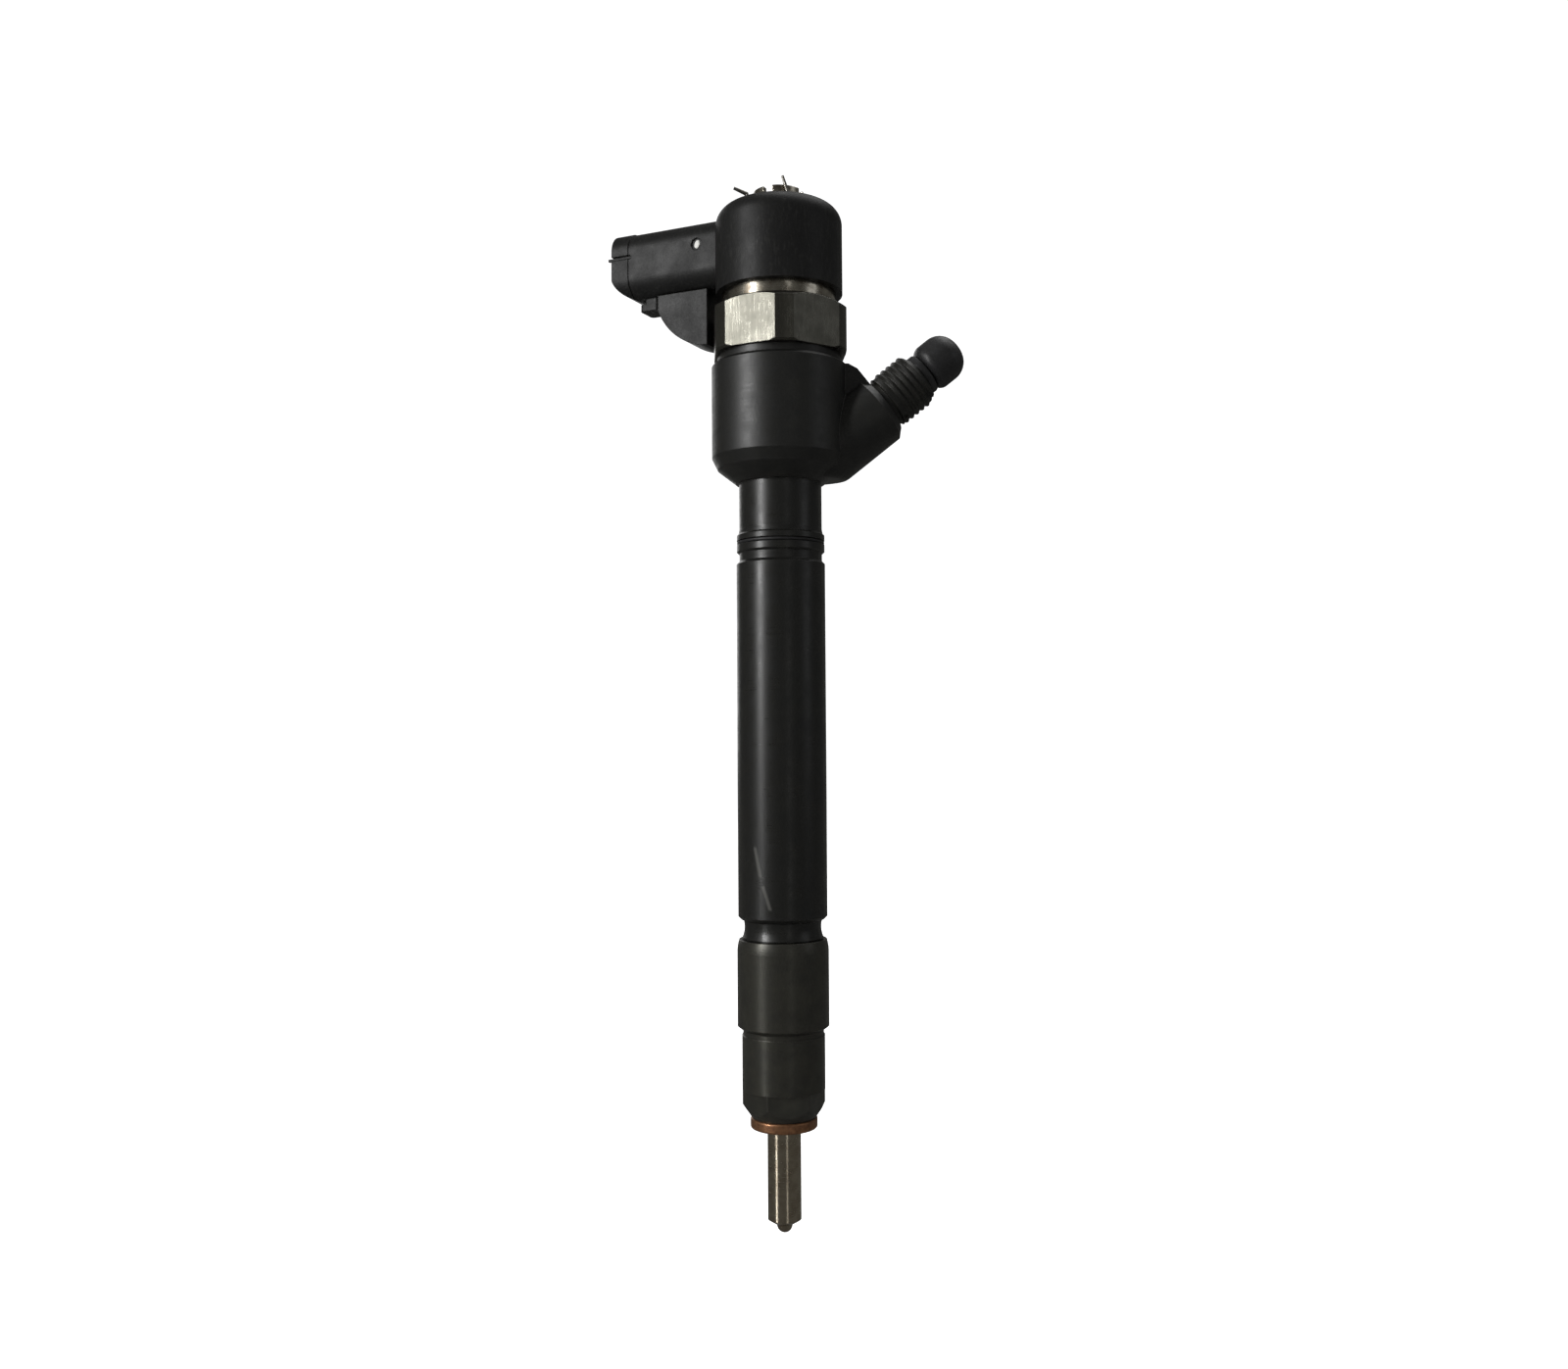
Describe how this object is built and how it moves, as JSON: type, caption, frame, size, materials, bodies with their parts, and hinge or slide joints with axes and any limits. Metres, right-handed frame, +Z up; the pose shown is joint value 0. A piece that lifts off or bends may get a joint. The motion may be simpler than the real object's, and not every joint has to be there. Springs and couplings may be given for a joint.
{
  "type": "fuel injector",
  "caption": "Solenoid-operated common-rail diesel fuel injector: slim body, slanted high-pressure inlet with dust plug, plug connector, nozzle and sealing washer.",
  "frame": {"origin": "centre of the sealing seat, where the underside of the copper washer meets the cylinder head, on the injector's axis", "axes": "+Z runs up the injector from the seat to the solenoid, the electrical connector points along -X, and +Y completes a right-handed frame, with the inlet slanted towards +X and +Y"},
  "size_m": [0.0748, 0.034, 0.2205],
  "materials": {
    "blackened_steel": "black oxide over turned and forged steel",
    "nut_steel": "olive grey satin phosphate",
    "polished_steel": "ground and polished",
    "plain_steel": "turned",
    "spring_steel": "drawn wire",
    "copper": "dull copper",
    "black_plastic": "glass-filled, moulded",
    "bobbin_plastic": "moulded",
    "tinned_contact": "tinned",
    "black_rubber": "matt moulded rubber"
  },
  "bodies": {
    "injector": {"injector_body": "blackened_steel", "sealing_washer": "copper", "nozzle_body": "polished_steel", "nozzle_dowels": "plain_steel", "nozzle_nut": "nut_steel", "spring_shim": "plain_steel", "nozzle_spring": "spring_steel", "armature_spring": "spring_steel", "solenoid_spring": "spring_steel", "stem_o_ring": "black_rubber", "inlet_neck": "nut_steel", "edge_filter": "plain_steel", "valve_seal_ring": "black_rubber", "valve_body": "polished_steel", "valve_clamping_screw": "plain_steel", "armature_guide": "plain_steel", "lift_shim": "plain_steel", "magnet_core": "plain_steel", "coil_bobbin": "bobbin_plastic", "coil_winding": "copper", "spring_seat": "plain_steel", "head_o_ring": "black_rubber", "magnet_sleeve": "polished_steel", "solenoid_nut": "nut_steel", "terminals": "tinned_contact", "solenoid_cap": "black_plastic", "return_port_sleeve": "nut_steel", "return_clip": "spring_steel"},
    "needle_train": {"nozzle_needle": "polished_steel", "thrust_pin": "plain_steel", "control_piston": "polished_steel"},
    "valve_train": {"armature_pin": "polished_steel", "valve_ball": "polished_steel", "ball_holder": "plain_steel", "armature_retainer": "plain_steel"},
    "armature_disc": {"armature_plate": "plain_steel"},
    "dust_plug": {"inlet_dust_plug": "black_rubber"}
  },
  "joints": [
    {"name": "needle_lift", "type": "slide", "parent": "injector", "child": "needle_train", "axis": [0, 0, 1], "range_m": [0, 0.00025], "stiffness_N_per_m": 1500, "springref_m": -0.002, "deforming": ["nozzle_spring"]},
    {"name": "valve_lift", "type": "slide", "parent": "injector", "child": "valve_train", "axis": [0, 0, 1], "range_m": [0, 0.00006], "stiffness_N_per_m": 200, "springref_m": -0.003, "deforming": ["solenoid_spring"]},
    {"name": "armature_overtravel", "type": "slide", "parent": "valve_train", "child": "armature_disc", "axis": [0, 0, -1], "range_m": [0, 0.00005], "stiffness_N_per_m": 200, "springref_m": -0.001, "deforming": ["armature_spring"]},
    {"name": "dust_plug_pull", "type": "slide", "parent": "injector", "child": "dust_plug", "axis": [0.7093, 0.3307, 0.6225], "range_m": [0, 0.014]}
  ]
}
